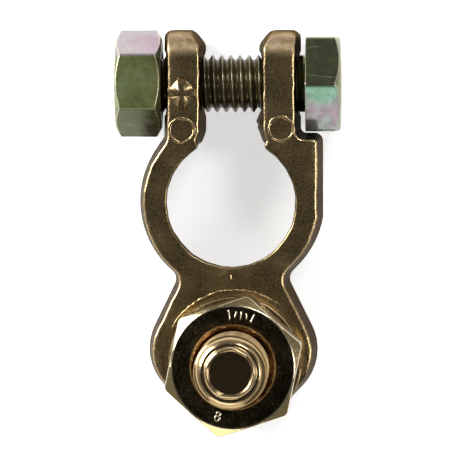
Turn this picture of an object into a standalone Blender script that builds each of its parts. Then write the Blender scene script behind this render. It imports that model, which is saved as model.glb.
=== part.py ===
"""Battery post clamp with an upright M10 cable stud.

The body is one brass casting: a split ring that grips the tapered post, two ears
drawn together by an M8 bolt and nut, and a lug that carries the stud.  The origin is
on the post's axis in the plane of the flat underside.  +Z runs up the stud, +Y runs
from the lug to the ears, and +X runs along the bolt towards its head.
"""

from math import cos, pi, radians, sin, sqrt, tan

import bpy
import numpy as np

MM = 0.001

# The casting's ring and the post that it grips
BODY_HEIGHT = 14.0 * MM
EDGE_RADIUS = 0.35 * MM
DRAFT = 0.65 * MM
BORE_RADIUS_TOP = 8.75 * MM
POST_TAPER = 1 / 18
RING_RADIUS = 12.7 * MM

# The ears and the gap between them
EAR_TOP = 23.5 * MM
EAR_OUTER = 9.35 * MM
EAR_INNER = 3.7 * MM
EAR_END_RADIUS = 3.2 * MM
SHELF_HEIGHT = 9.35 * MM
SHELF_WIDTH = 12.4 * MM

# The lug and its stud
NECK_CORNER = (7.4 * MM, -10.35 * MM)
LUG_CORNER = (12.9 * MM, -21.75 * MM)
LUG_SIDE_RADIUS = 7.2 * MM
LUG_END_RADIUS = 9.4 * MM
LUG_END_CENTRE = (0.15 * MM, -21.7 * MM)
STUD_AXIS = (0.6 * MM, -21.8 * MM)
STUD_TOP = 36.0 * MM
STUD_HEAD_RADIUS = 6.5 * MM
STUD_HEAD_HEIGHT = 2.8 * MM
SPOT_FACE_RADIUS = 9.6 * MM
SPOT_FACE_DEPTH = 0.5 * MM

# The clamp bolt and its nut
BOLT_Y = 16.15 * MM
BOLT_Z = 7.7 * MM
BOLT_HEAD_X = 10.1 * MM
BOLT_HEAD_HEIGHT = 4.8 * MM
BOLT_LENGTH = 25.0 * MM
BOLT_HOLE_RADIUS = 4.5 * MM
NUT_INNER_X = -9.7 * MM
NUT_HEIGHT = 6.3 * MM
NUT_TURN = radians(33.8)
M8_FLATS = 13.0 * MM
M8_RADIUS = 4.0 * MM
M8_PITCH = 1.25 * MM

# The stud's nut and spring washer
M10_FLATS = 17.0 * MM
M10_RADIUS = 5.0 * MM
M10_PITCH = 1.5 * MM
STUD_NUT_HEIGHT = 8.0 * MM
STUD_NUT_TURN = radians(18.2)
WASHER_INNER_RADIUS = 5.3 * MM
WASHER_OUTER_RADIUS = 9.05 * MM
WASHER_HEIGHT = 2.2 * MM
WASHER_LIFT = 0.3 * MM
WASHER_GAP = radians(10)

# Fits: the gap between touching pieces, and the play in a screw thread
GAP = 0.3 * MM
THREAD_PLAY = 0.2 * MM

# Facets round a turned piece and round one turn of a thread
ROUND = 48
THREAD_ROUND = 20


def clear_scene():
    """Remove what a new file holds."""
    for old in list(bpy.data.objects):
        bpy.data.objects.remove(old)


def make_object(name, points, faces, place=(0, 0, 0), turn=(0, 0, 0)):
    """A mesh object from points in metres and faces that point outwards."""
    mesh = bpy.data.meshes.new(name)
    mesh.from_pydata([tuple(map(float, p)) for p in points], [], faces)
    mesh.validate()
    mesh.shade_smooth()
    mesh.set_sharp_from_angle(angle=radians(30))
    piece = bpy.data.objects.new(name, mesh)
    piece.location = place
    piece.rotation_euler = turn
    bpy.context.collection.objects.link(piece)
    return piece


def combine(piece, tool, operation):
    """Cut, join or trim a piece with a tool, which then shows only as wire."""
    step = piece.modifiers.new(tool.name, "BOOLEAN")
    step.operation = operation
    step.solver = "EXACT"
    step.object = tool
    tool.hide_render = True
    tool.display_type = "WIRE"


def finish(piece, colour, roughness, metallic=1.0):
    """Give a piece its own metal."""
    metal = bpy.data.materials.new(piece.name)
    metal.use_nodes = True
    shader = metal.node_tree.nodes["Principled BSDF"]
    shader.inputs["Base Color"].default_value = (*colour, 1.0)
    shader.inputs["Roughness"].default_value = roughness
    shader.inputs["Metallic"].default_value = metallic
    piece.data.materials.append(metal)


def stacked(loops):
    """Points and faces of a solid whose equal loops are stacked from bottom to top."""
    count = len(loops[0])
    faces = [tuple(reversed(range(count)))]
    for row in range(len(loops) - 1):
        for i in range(count):
            j = (i + 1) % count
            low, high = row * count, (row + 1) * count
            faces.append((low + i, low + j, high + j, high + i))
    top = (len(loops) - 1) * count
    faces.append(tuple(range(top, top + count)))
    return np.concatenate(loops), faces


def circle(radius, height, steps=ROUND, turn=0.0):
    """One level ring of points about the Z axis."""
    angle = turn + 2 * pi * np.arange(steps) / steps
    level = np.full(steps, height)
    return np.stack([radius * np.cos(angle), radius * np.sin(angle), level], axis=1)


def turned(name, profile, place=(0, 0, 0), turn=(0, 0, 0), steps=ROUND):
    """A turned solid from (radius, height) pairs that climb its outer side."""
    points, faces = stacked([circle(r, z, steps) for r, z in profile])
    return make_object(name, points, faces, place, turn)


def arc(centre, radius, start, end, steps):
    """Corner points along an arc, whose angles are in degrees."""
    angles = np.radians(np.linspace(start, end, steps + 1))
    return [
        (centre[0] + radius * cos(a), centre[1] + radius * sin(a), 0.0)
        for a in angles
    ]


def rounded(corners, steps=4):
    """The closed outline through (x, y, radius) corners, each rounded to its radius."""
    outline = []
    for i, (x, y, radius) in enumerate(corners):
        here = np.array([x, y])
        if radius == 0:
            outline.append(here)
            continue
        back = np.array(corners[i - 1][:2]) - here
        ahead = np.array(corners[(i + 1) % len(corners)][:2]) - here
        back /= np.linalg.norm(back)
        ahead /= np.linalg.norm(ahead)
        half = np.arccos(np.clip(back @ ahead, -1, 1)) / 2
        middle = (back + ahead) / np.linalg.norm(back + ahead)
        centre = here + middle * radius / sin(half)
        first = here + back * radius / tan(half) - centre
        last = here + ahead * radius / tan(half) - centre
        for t in np.linspace(0, 1, steps + 1):
            spoke = (1 - t) * first + t * last
            outline.append(centre + spoke * radius / np.linalg.norm(spoke))
    return np.array(outline)


def inset(outline, distance):
    """A counter-clockwise outline moved inwards, each corner along its mitre."""
    edge = np.roll(outline, -1, axis=0) - outline
    edge /= np.linalg.norm(edge, axis=1)[:, None]
    normal = np.stack([-edge[:, 1], edge[:, 0]], axis=1)
    before = np.roll(normal, 1, axis=0)
    share = 1 + np.sum(normal * before, axis=1)
    return outline + distance * (normal + before) / share[:, None]


def body_outline():
    """The casting's parting line, counter-clockwise from the left ear's top."""
    bevel = 1.6 * MM
    throat = 7.5 * MM
    neck_x, neck_y = NECK_CORNER
    lug_x, lug_y = LUG_CORNER
    inside = BORE_RADIUS_TOP - 1.6 * MM
    corners = [
        (-EAR_OUTER, EAR_TOP, 1.2 * MM),
        (-EAR_OUTER, 8.8 * MM, 1.0 * MM),
        *arc((0, 0), RING_RADIUS, 146, 226, 14),
        (-neck_x, neck_y, 1.5 * MM),
        (-lug_x, lug_y, LUG_SIDE_RADIUS),
        *arc(LUG_END_CENTRE, LUG_END_RADIUS, 225, 315, 12),
        (lug_x + 0.3 * MM, lug_y, LUG_SIDE_RADIUS),
        (neck_x + 0.15 * MM, neck_y, 1.5 * MM),
        *arc((0, 0), 12.6 * MM, -46, -10, 7),
        (SHELF_WIDTH, SHELF_HEIGHT, 1.1 * MM),
        (EAR_OUTER, SHELF_HEIGHT, 0.8 * MM),
        (EAR_OUTER, EAR_TOP, 1.2 * MM),
        (EAR_INNER + bevel, EAR_TOP, 1.2 * MM),
        (EAR_INNER, EAR_TOP - 2.1 * MM, 1.2 * MM),
        (EAR_INNER, 9.6 * MM, 3.0 * MM),
        (4.4 * MM, throat, 0.0),
        *arc((0, 0), inside, 49, -229, 36),
        (-4.4 * MM, throat, 0.0),
        (-EAR_INNER, 9.6 * MM, 3.0 * MM),
        (-EAR_INNER, EAR_TOP - 2.1 * MM, 1.2 * MM),
        (-EAR_INNER - bevel, EAR_TOP, 1.2 * MM),
    ]
    return rounded(corners)


def ear_end_cutter(name, height, side):
    """A bar across both ears that rounds their upper or lower end edge."""
    reach = 0.1 * MM
    centre_y = EAR_TOP - EAR_END_RADIUS + reach
    centre_z = height - side * (EAR_END_RADIUS - reach)
    angles = np.linspace(-0.1, pi / 2 + 0.1, 9)
    section = [
        (
            centre_y + EAR_END_RADIUS * cos(a),
            centre_z + side * EAR_END_RADIUS * sin(a),
        )
        for a in angles
    ]
    section.append((centre_y - 1.5 * MM, height + side * 3 * MM))
    section.append((EAR_TOP + 3 * MM, height + side * 3 * MM))
    section.append((EAR_TOP + 3 * MM, section[0][1]))
    width = EAR_OUTER + 2 * MM
    near = np.array([(-width, y, z) for y, z in section])
    far = np.array([(width, y, z) for y, z in section])
    loops = [near, far] if side < 0 else [far, near]
    points, faces = stacked(loops)
    return make_object(name, points, faces)


def clamp_body():
    """The brass casting, drafted both ways from its parting line at mid height."""
    outline = body_outline()
    levels = [
        (DRAFT + EDGE_RADIUS, 0.0),
        (DRAFT, EDGE_RADIUS),
        (0.0, BODY_HEIGHT / 2),
        (DRAFT, BODY_HEIGHT - EDGE_RADIUS),
        (DRAFT + EDGE_RADIUS, BODY_HEIGHT),
    ]
    loops = []
    for in_by, z in levels:
        flat = inset(outline, in_by)
        loops.append(np.column_stack([flat, np.full(len(flat), z)]))
    points, faces = stacked(loops)
    body = make_object("clamp_body", points, faces)
    past = 1 * MM
    bore_low = BORE_RADIUS_TOP + (BODY_HEIGHT + past) * POST_TAPER
    bore_high = BORE_RADIUS_TOP - past * POST_TAPER
    bore = [(bore_low, -past), (bore_high, BODY_HEIGHT + past)]
    combine(body, turned("bore_cutter", bore, steps=64), "DIFFERENCE")
    combine(body, ear_end_cutter("ear_top_cutter", BODY_HEIGHT, 1), "DIFFERENCE")
    combine(body, ear_end_cutter("ear_under_cutter", 0.0, -1), "DIFFERENCE")
    reach = EAR_OUTER + 2 * MM
    bolt_hole = turned(
        "bolt_hole_cutter",
        [(BOLT_HOLE_RADIUS, -reach), (BOLT_HOLE_RADIUS, reach)],
        (0, BOLT_Y, BOLT_Z),
        (0, pi / 2, 0),
        steps=32,
    )
    combine(body, bolt_hole, "DIFFERENCE")
    pocket_radius = STUD_HEAD_RADIUS + GAP
    pocket_top = STUD_HEAD_HEIGHT + 2 * GAP
    hole = M10_RADIUS + GAP
    spot = BODY_HEIGHT - SPOT_FACE_DEPTH
    seat = [
        (pocket_radius, -past),
        (pocket_radius, pocket_top),
        (hole, pocket_top),
        (hole, spot),
        (SPOT_FACE_RADIUS, spot),
        (SPOT_FACE_RADIUS, BODY_HEIGHT + past),
    ]
    combine(body, turned("stud_seat_cutter", seat, (*STUD_AXIS, 0)), "DIFFERENCE")
    finish(body, (0.42, 0.29, 0.13), 0.38)


def thread(name, radius, pitch, low, high, place, turn):
    """A right-hand 60 degree thread on a solid core, from height low to height high.

    Each column of points climbs the profile once per pitch.  Column i starts i / n of
    a pitch higher, and the last column joins the first one a whole pitch up.  Every
    thread on one axis starts at a whole number of pitches, so a screw and nut mesh.
    """
    depth = 5 / 16 * sqrt(3) * pitch
    heights = np.array([-1 / 8, 1 / 8, 7 / 16, 9 / 16]) * pitch
    radii = radius - depth * np.array([1, 1, 0, 0])
    first = np.floor(low / pitch) - 1
    turns = int((high - low) / pitch) + 4
    n = THREAD_ROUND
    climb = (pitch * (first + np.arange(turns))[:, None] + heights).ravel()
    out = np.tile(radii, turns)
    rows = len(climb)
    angle = 2 * pi * np.arange(n) / n
    x = np.cos(angle)[:, None] * out
    y = np.sin(angle)[:, None] * out
    z = climb + pitch * (np.arange(n) / n)[:, None]
    points = np.stack([x, y, z], axis=2).reshape(-1, 3)
    faces = []
    for i in range(n):
        last = i == n - 1
        here = i * rows
        beyond = 4 if last else here + rows
        for k in range(rows - 1 - (4 if last else 0)):
            faces.append((here + k, beyond + k, beyond + k + 1, here + k + 1))
    bottom = len(points)
    foot = [i * rows for i in range(n)] + [4, 3, 2, 1]
    head = [i * rows + rows - 1 for i in range(n - 1)]
    head += [n * rows - 1 - k for k in range(5)]
    faces += [(bottom, b, a) for a, b in zip(foot, foot[1:] + foot[:1])]
    faces += [(bottom + 1, a, b) for a, b in zip(head, head[1:] + head[:1])]
    ends = [(0, 0, climb[0]), (0, 0, climb[-1] + pitch)]
    points = np.concatenate([points, ends])
    return make_object(name, points, faces, place, turn)


def threaded_rod(name, radius, pitch, low, high, place, turn):
    """A length of thread whose upper end carries a 45 degree chamfer."""
    rod = thread(name, radius, pitch, low, high, place, turn)
    clear = radius + 0.4 * MM
    chamfer = 1.0 * MM + 0.4 * MM
    blank = [(clear, low), (clear, high - chamfer), (clear - chamfer, high)]
    combine(rod, turned(name + "_blank", blank, place, turn, steps=32), "INTERSECT")
    return rod


def hexagon(name, flats, low, high, top_chamfer, place, turn, spin):
    """A hexagon prism, chamfered at 30 degrees underneath and, if asked, on top."""
    corner = flats / sqrt(3)
    points, faces = stacked([circle(corner, z, 6, spin) for z in (low, high)])
    piece = make_object(name, points, faces, place, turn)
    over = 0.3 * MM
    out = corner + over
    ring = 0.97 * flats / 2
    drop = (out - ring) * tan(radians(30))
    profile = [(ring, low), (out, low + drop), (out, high + over)]
    if top_chamfer:
        profile[2:] = [(out, high - drop), (ring, high)]
    combine(piece, turned(name + "_barrel", profile, place, turn), "INTERSECT")
    return piece


def tap(piece, name, radius, pitch, low, high, mouth, place, turn):
    """Cut a thread with play through a nut, and a countersink at each end."""
    tool = thread(name, radius + THREAD_PLAY, pitch, low - pitch, high + pitch, place, turn)
    combine(piece, tool, "DIFFERENCE")
    inner = mouth - 1.6 * MM
    past = 0.4 * MM
    for end, way in ((low, -1), (high, 1)):
        rows = [(inner, end - way * 1.6 * MM), (mouth + past, end + way * past)]
        sink = turned(f"{name}_mouth_{way + 1}", rows[::way], place, turn, steps=32)
        combine(piece, sink, "DIFFERENCE")


def clamp_bolt():
    """The M8 hexagon bolt, whose head lies on the right ear above the shelf."""
    place = (BOLT_HEAD_X, BOLT_Y, BOLT_Z)
    turn = (0, -pi / 2, 0)
    flats = M8_FLATS - 0.1 * MM
    head = hexagon("clamp_bolt", flats, -BOLT_HEAD_HEIGHT, 0, False, place, turn, 0)
    overlap = 1.0 * MM
    rod = threaded_rod(
        "bolt_thread", M8_RADIUS, M8_PITCH, -overlap, BOLT_LENGTH, place, turn
    )
    combine(head, rod, "UNION")
    finish(head, (0.55, 0.52, 0.40), 0.3)


def clamp_nut():
    """The M8 hexagon nut on the left ear, in mesh with the bolt."""
    place = (BOLT_HEAD_X, BOLT_Y, BOLT_Z)
    turn = (0, -pi / 2, 0)
    low = BOLT_HEAD_X - NUT_INNER_X
    high = low + NUT_HEIGHT
    nut = hexagon("clamp_nut", M8_FLATS, low, high, True, place, turn, NUT_TURN)
    tap(nut, "nut_tap", M8_RADIUS, M8_PITCH, low, high, 4.4 * MM, place, turn)
    finish(nut, (0.55, 0.50, 0.38), 0.3)


def terminal_stud():
    """The M10 stud, pressed up through the lug until its round head seats."""
    place = (*STUD_AXIS, 0)
    shank = M10_RADIUS + 0.05 * MM
    shank_top = BODY_HEIGHT + 0.8 * MM
    rim = 0.3 * MM
    head_top = 0.2 * MM + STUD_HEAD_HEIGHT
    profile = [
        (STUD_HEAD_RADIUS - rim, 0.2 * MM),
        (STUD_HEAD_RADIUS, 0.2 * MM + rim),
        (STUD_HEAD_RADIUS, head_top),
        (shank, head_top),
        (shank, shank_top - 1.3 * MM),
        (shank - 1.3 * MM, shank_top),
    ]
    stud = turned("terminal_stud", profile, place)
    low = shank_top - 2.5 * MM
    level = (0, 0, 0)
    rod = thread("stud_thread", M10_RADIUS, M10_PITCH, low, STUD_TOP, place, level)
    clear = M10_RADIUS + 0.4 * MM
    blank = [(clear, low), (clear, STUD_TOP - 2.1 * MM)]
    for angle in (20, 45, 70, 90):
        bulge = 2.4 * MM
        radius = clear - bulge + bulge * cos(radians(angle))
        blank.append((radius, STUD_TOP - 2.1 * MM + 2.1 * MM * sin(radians(angle))))
    combine(rod, turned("stud_blank", blank, place, steps=32), "INTERSECT")
    combine(stud, rod, "UNION")
    finish(stud, (0.72, 0.53, 0.33), 0.22)


def washer_floor():
    """Height of the spring washer's lowest corner over the spot face."""
    return BODY_HEIGHT - SPOT_FACE_DEPTH + GAP


def stud_spring_washer():
    """The split washer, pressed almost flat, whose two ends stand a little apart."""
    steps = 40
    path = np.linspace(WASHER_GAP / 2, 2 * pi - WASHER_GAP / 2, steps + 1)
    lift = washer_floor() + WASHER_LIFT * (1 - np.linspace(0, 1, steps + 1))
    loops = []
    for angle, low in zip(path, lift):
        way = np.array([cos(angle), sin(angle)])
        ring = [
            (WASHER_INNER_RADIUS, low),
            (WASHER_INNER_RADIUS, low + WASHER_HEIGHT),
            (WASHER_OUTER_RADIUS, low + WASHER_HEIGHT),
            (WASHER_OUTER_RADIUS, low),
        ]
        loops.append(np.array([(*(way * r), z) for r, z in ring]))
    points, faces = stacked(loops)
    washer = make_object("stud_spring_washer", points, faces, (*STUD_AXIS, 0))
    finish(washer, (0.50, 0.47, 0.38), 0.35)


def stud_nut():
    """The M10 hexagon nut that clamps a cable lug on the stud."""
    place = (*STUD_AXIS, 0)
    level = (0, 0, 0)
    low = washer_floor() + WASHER_HEIGHT + WASHER_LIFT + GAP
    high = low + STUD_NUT_HEIGHT
    nut = hexagon("stud_nut", M10_FLATS, low, high, True, place, level, STUD_NUT_TURN)
    tap(nut, "stud_nut_tap", M10_RADIUS, M10_PITCH, low, high, 5.7 * MM, place, level)
    finish(nut, (0.62, 0.46, 0.24), 0.25)


clear_scene()
clamp_body()
clamp_bolt()
clamp_nut()
terminal_stud()
stud_spring_washer()
stud_nut()
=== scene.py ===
"""A battery post clamp with a cable stud, finished round its CAD frame."""

from math import pi, radians, sqrt, tan

import bpy
import numpy as np
from mathutils import Matrix, Vector


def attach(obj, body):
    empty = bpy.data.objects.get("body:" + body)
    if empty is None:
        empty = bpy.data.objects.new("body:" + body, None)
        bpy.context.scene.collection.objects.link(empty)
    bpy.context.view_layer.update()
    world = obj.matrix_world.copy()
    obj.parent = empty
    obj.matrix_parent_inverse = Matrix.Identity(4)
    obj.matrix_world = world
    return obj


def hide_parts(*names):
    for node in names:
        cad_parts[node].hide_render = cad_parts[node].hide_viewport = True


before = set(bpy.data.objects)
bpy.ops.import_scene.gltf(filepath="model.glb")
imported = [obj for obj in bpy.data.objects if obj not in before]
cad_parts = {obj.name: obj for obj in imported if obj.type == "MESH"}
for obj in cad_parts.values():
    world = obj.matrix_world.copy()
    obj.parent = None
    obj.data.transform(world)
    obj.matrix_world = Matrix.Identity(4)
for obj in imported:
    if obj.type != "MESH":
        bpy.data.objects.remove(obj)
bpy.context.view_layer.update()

MM = 0.001

# ---------------------------------------------------------------------------
# The table, the lights and the camera.  The clamp lies on its flat underside on a
# pale sheet, with soft boxes round it and nothing bright straight above.

VIEW_CENTRE = Vector((-0.68, -3.17, 14.0)) * MM
VIEW_WAY = Vector((tan(radians(2.0)), tan(radians(2.6)), 1.0)).normalized()
VIEW_DISTANCE = 0.8
VIEW_WIDTH = 61.75 * MM


def plain_floor():
    """A pale matt sheet, far wider than the view, lit a little from below.

    It lies a hair under the clamp, and its back is clear, so the clamp shows from below.
    """
    reach, drop = 1.5, -0.05 * MM
    mesh = bpy.data.meshes.new("table_top")
    corners = [(-reach, -reach), (reach, -reach), (reach, reach), (-reach, reach)]
    mesh.from_pydata([(x, y, drop) for x, y in corners], [], [(0, 1, 2, 3)])
    floor = bpy.data.objects.new("table_top", mesh)
    bpy.context.collection.objects.link(floor)
    paper = bpy.data.materials.new("pale_paper")
    paper.use_nodes = True
    shader = paper.node_tree.nodes["Principled BSDF"]
    shader.inputs["Base Color"].default_value = (0.82, 0.82, 0.82, 1)
    shader.inputs["Roughness"].default_value = 0.9
    shader.inputs["Specular IOR Level"].default_value = 0.1
    shader.inputs["Emission Color"].default_value = (1, 1, 1, 1)
    shader.inputs["Emission Strength"].default_value = 0.64
    tree = paper.node_tree
    side = tree.nodes.new("ShaderNodeNewGeometry")
    clear = tree.nodes.new("ShaderNodeBsdfTransparent")
    choice = tree.nodes.new("ShaderNodeMixShader")
    tree.links.new(side.outputs["Backfacing"], choice.inputs["Fac"])
    tree.links.new(shader.outputs["BSDF"], choice.inputs[1])
    tree.links.new(clear.outputs["BSDF"], choice.inputs[2])
    tree.links.new(choice.outputs["Shader"], tree.nodes["Material Output"].inputs["Surface"])
    mesh.materials.append(paper)


def soft_box(name, way, distance, size, power):
    """A rectangular lamp that faces the clamp from direction `way`."""
    lamp = bpy.data.lights.new(name, "AREA")
    lamp.shape = "RECTANGLE"
    lamp.size, lamp.size_y = size
    lamp.energy = power
    box = bpy.data.objects.new(name, lamp)
    way = Vector(way).normalized()
    box.location = way * distance
    box.rotation_euler = way.to_track_quat("Z", "Y").to_euler()
    box.visible_camera = False
    bpy.context.collection.objects.link(box)


plain_floor()
soft_box("left_box", (-1.0, 0.55, 0.8), 0.7, (0.36, 0.36), 6.5)
soft_box("back_right_box", (0.42, 0.8, 1.15), 0.75, (0.16, 0.16), 1.2)
soft_box("right_box", (1.0, -0.1, 1.15), 0.75, (0.16, 0.2), 1.2)
soft_box("front_box", (-0.2, -1.0, 0.5), 0.8, (0.7, 0.22), 1.15)


def light_tent():
    """White walls all round that darken towards the ceiling."""
    world = bpy.data.worlds.new("light_tent")
    world.use_nodes = True
    tree = world.node_tree
    way = tree.nodes.new("ShaderNodeTexCoord")
    split = tree.nodes.new("ShaderNodeSeparateXYZ")
    ramp = tree.nodes.new("ShaderNodeValToRGB")
    stops = ((0.0, 0.5), (0.25, 0.36), (0.6, 0.12), (0.9, 0.045))
    while len(ramp.color_ramp.elements) < len(stops):
        ramp.color_ramp.elements.new(0.5)
    for element, (at, grey) in zip(ramp.color_ramp.elements, stops):
        element.position = at
        element.color = (grey, grey, grey, 1)
    tree.links.new(way.outputs["Generated"], split.inputs["Vector"])
    tree.links.new(split.outputs["Z"], ramp.inputs["Fac"])
    tree.links.new(ramp.outputs["Color"], tree.nodes["Background"].inputs["Color"])
    bpy.context.scene.world = world


light_tent()

across = Vector((0, 1, 0)).cross(VIEW_WAY).normalized()
upright = VIEW_WAY.cross(across)
camera = bpy.data.objects.new("camera", bpy.data.cameras.new("camera"))
camera.data.sensor_width = 36
camera.data.lens = 36 / VIEW_WIDTH * VIEW_DISTANCE
camera.data.clip_start = 0.01
camera.matrix_world = Matrix.Translation(VIEW_CENTRE + VIEW_WAY * VIEW_DISTANCE) @ Matrix(
    (across, upright, VIEW_WAY)
).transposed().to_4x4()
bpy.context.collection.objects.link(camera)
bpy.context.scene.camera = camera
bpy.context.scene.view_settings.view_transform = "Standard"


# ---------------------------------------------------------------------------
# The clamp body: one brass casting, drafted both ways from a parting line at mid
# height, with a tapered bore for the post, two ears with a bolt hole, and a lug whose
# spot-faced top seats the cable.

HEIGHT = 14.0 * MM
MIDDLE = HEIGHT / 2
DRAFT = 0.65 * MM
EDGE = 0.32 * MM
BORE = 8.75 * MM
TAPER = 1 / 18
RING = 12.7 * MM
EAR_TOP = 23.5 * MM
EAR_OUT = 9.35 * MM
EAR_IN = 3.7 * MM
EAR_ROUND = 3.2 * MM
EAR_ROUND_TURN = radians(50)
SHELF = (12.4 * MM, 9.35 * MM)
NECK = (7.4 * MM, -10.35 * MM)
LUG = (12.9 * MM, -21.75 * MM)
LUG_END = (0.15 * MM, -21.7 * MM)
BOLT_HOLE = 4.5 * MM
BOLT_Y = 16.15 * MM
BOLT_Z = 7.7 * MM
STUD_X = 0.6 * MM
STUD_Y = -21.8 * MM
TURN_ON_X = [(0, 0, -1), (0, 1, 0), (1, 0, 0)]


def full_turn(count):
    """Angles spread evenly round a full turn."""
    return 2 * pi * np.arange(count) / count


def arc(centre, radius, start, end, steps):
    """Corners along an arc whose angles are in degrees."""
    angle = np.radians(np.linspace(start, end, steps + 1))
    x = centre[0] + radius * np.cos(angle)
    y = centre[1] + radius * np.sin(angle)
    return [(a, b, 0.0) for a, b in zip(x, y)]


def rounded(corners, steps=8):
    """An open line through (x, y, radius) corners, each turned on its own radius."""
    line = [np.array(corners[0][:2])]
    for before, (x, y, radius), after in zip(corners, corners[1:], corners[2:]):
        here = np.array([x, y])
        if radius == 0:
            line.append(here)
            continue
        back = np.array(before[:2]) - here
        ahead = np.array(after[:2]) - here
        back /= np.linalg.norm(back)
        ahead /= np.linalg.norm(ahead)
        half = np.arccos(np.clip(back @ ahead, -1, 1)) / 2
        middle = (back + ahead) / np.linalg.norm(back + ahead)
        centre = here + middle * radius / np.sin(half)
        first = here + back * radius / np.tan(half) - centre
        last = here + ahead * radius / np.tan(half) - centre
        for t in np.linspace(0, 1, steps + 1):
            spoke = (1 - t) * first + t * last
            line.append(centre + spoke * radius / np.linalg.norm(spoke))
    line.append(np.array(corners[-1][:2]))
    return np.array(line)


def stretches(parts, counts):
    """Each part of a line cut into its own count of equal steps, joined end to end."""
    whole = []
    for corners, count in zip(parts, counts):
        line = rounded(corners)
        length = np.concatenate([[0], np.cumsum(np.linalg.norm(np.diff(line, axis=0), axis=1))])
        at = np.linspace(0, length[-1], count + 1)[:-1]
        whole.append(np.stack([np.interp(at, length, line[:, k]) for k in (0, 1)], axis=1))
    whole.append(rounded(parts[-1])[-1:])
    return np.concatenate(whole)


def inset(outline, distance):
    """A counter-clockwise outline moved inwards, each point along its mitre."""
    edge = np.roll(outline, -1, axis=0) - outline
    edge /= np.linalg.norm(edge, axis=1)[:, None]
    normal = np.stack([-edge[:, 1], edge[:, 0]], axis=1)
    before = np.roll(normal, 1, axis=0)
    share = 1 + np.sum(normal * before, axis=1)
    return outline + np.asarray(distance)[:, None] * (normal + before) / share[:, None]


def mesh_piece(name, points, quads, polygons=()):
    """A piece from an array of points, an array of quads and a few larger polygons.

    The winding is turned round if the enclosed volume comes out negative.
    """
    a, b, c, d = (points[quads[:, k]] for k in range(4))
    volume = np.einsum("ij,ij->", a, np.cross(b, c)) + np.einsum("ij,ij->", a, np.cross(c, d))
    for polygon in polygons:
        p = points[polygon]
        volume += np.sum(p[0] * np.cross(p[1:-1], p[2:]))
    if volume < 0:
        quads = quads[:, ::-1]
        polygons = [polygon[::-1] for polygon in polygons]
    mesh = bpy.data.meshes.new(name)
    faces = quads.tolist() + [list(map(int, polygon)) for polygon in polygons]
    mesh.from_pydata(points.tolist(), [], faces)
    mesh.shade_smooth()
    piece = bpy.data.objects.new(name, mesh)
    bpy.context.collection.objects.link(piece)
    return piece


def carry(piece, name, values):
    """Give every point of a piece a number of its own, for its finish to read."""
    mark = piece.data.attributes.new(name, "FLOAT", "POINT")
    mark.data.foreach_set("value", np.ascontiguousarray(values, dtype=np.float32).ravel())


def woven(rows, columns, wrap):
    """Quads of a grid whose columns join in a ring, and whose rows do if it wraps."""
    here = np.arange(columns)
    beyond = np.roll(here, -1)
    row = np.arange(rows if wrap else rows - 1)[:, None]
    low, high = columns * row, columns * ((row + 1) % rows)
    return np.stack([low + here, low + beyond, high + beyond, high + here], axis=2).reshape(-1, 4)


def casting_lines():
    """The outer and inner edge of the casting at its parting line, paired point by point.

    Both run from the left ear's top, round the ring, to the right ear's top.
    """
    shelf_x, shelf_y = SHELF
    foot = 10.5 * MM
    right_ring = 12.6 * MM
    waist = 0.2
    left_waist = (-NECK[0] - waist * (LUG[0] - NECK[0]), NECK[1] + waist * (LUG[1] - NECK[1]))
    right_waist = (-left_waist[0] + 0.17 * MM, left_waist[1])
    outer = [
        [(-EAR_OUT + 1.2 * MM, EAR_TOP), (-EAR_OUT, EAR_TOP, 1.2 * MM), (-EAR_OUT, foot)],
        [(-EAR_OUT, foot), (-EAR_OUT, 8.8 * MM, 1.0 * MM), *arc((0, 0), RING, 146, 216, 24)],
        [*arc((0, 0), RING, 216, 226, 3), (-NECK[0], NECK[1], 1.5 * MM), left_waist],
        [left_waist, (-LUG[0], LUG[1], 7.2 * MM), *arc(LUG_END, 9.4 * MM, 225, 270, 12)],
        [*arc(LUG_END, 9.4 * MM, 270, 315, 12), (LUG[0] + 0.3 * MM, LUG[1], 7.2 * MM), right_waist],
        [
            right_waist,
            (NECK[0] + 0.15 * MM, NECK[1], 1.5 * MM),
            *arc((0, 0), right_ring, -46, -36, 3),
        ],
        [
            *arc((0, 0), right_ring, -36, -10, 9),
            (shelf_x, shelf_y, 1.1 * MM),
            (EAR_OUT, shelf_y, 0.8 * MM),
            (EAR_OUT, foot),
        ],
        [(EAR_OUT, foot), (EAR_OUT, EAR_TOP, 1.2 * MM), (EAR_OUT - 1.2 * MM, EAR_TOP)],
    ]
    cut_back = 2.1 * MM
    slope = 1.6 * MM
    throat = (4.45 * MM, 7.6 * MM)
    inner = [
        [
            (-EAR_IN - slope - 0.6 * MM, EAR_TOP),
            (-EAR_IN - slope, EAR_TOP, 1.2 * MM),
            (-EAR_IN, EAR_TOP - cut_back, 1.2 * MM),
            (-EAR_IN, foot),
        ],
        [
            (-EAR_IN, foot),
            (-EAR_IN, 9.6 * MM, 2.0 * MM),
            (-throat[0], throat[1], 1.0 * MM),
            *arc((0, 0), BORE, 132, 216, 30),
        ],
        [*arc((0, 0), BORE, 216, 252, 12)],
        [*arc((0, 0), BORE, 252, 270, 6)],
        [*arc((0, 0), BORE, 270, 288, 6)],
        [*arc((0, 0), BORE, 288, 324, 12)],
        [
            *arc((0, 0), BORE, 324, 408, 30),
            (throat[0], throat[1], 1.0 * MM),
            (EAR_IN, 9.6 * MM, 2.0 * MM),
            (EAR_IN, foot),
        ],
        [
            (EAR_IN, foot),
            (EAR_IN, EAR_TOP - cut_back, 1.2 * MM),
            (EAR_IN + slope, EAR_TOP, 1.2 * MM),
            (EAR_IN + slope + 0.6 * MM, EAR_TOP),
        ],
    ]
    counts = (60, 70, 40, 80, 80, 40, 90, 60)
    return stretches(outer, counts), stretches(inner, counts)


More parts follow.
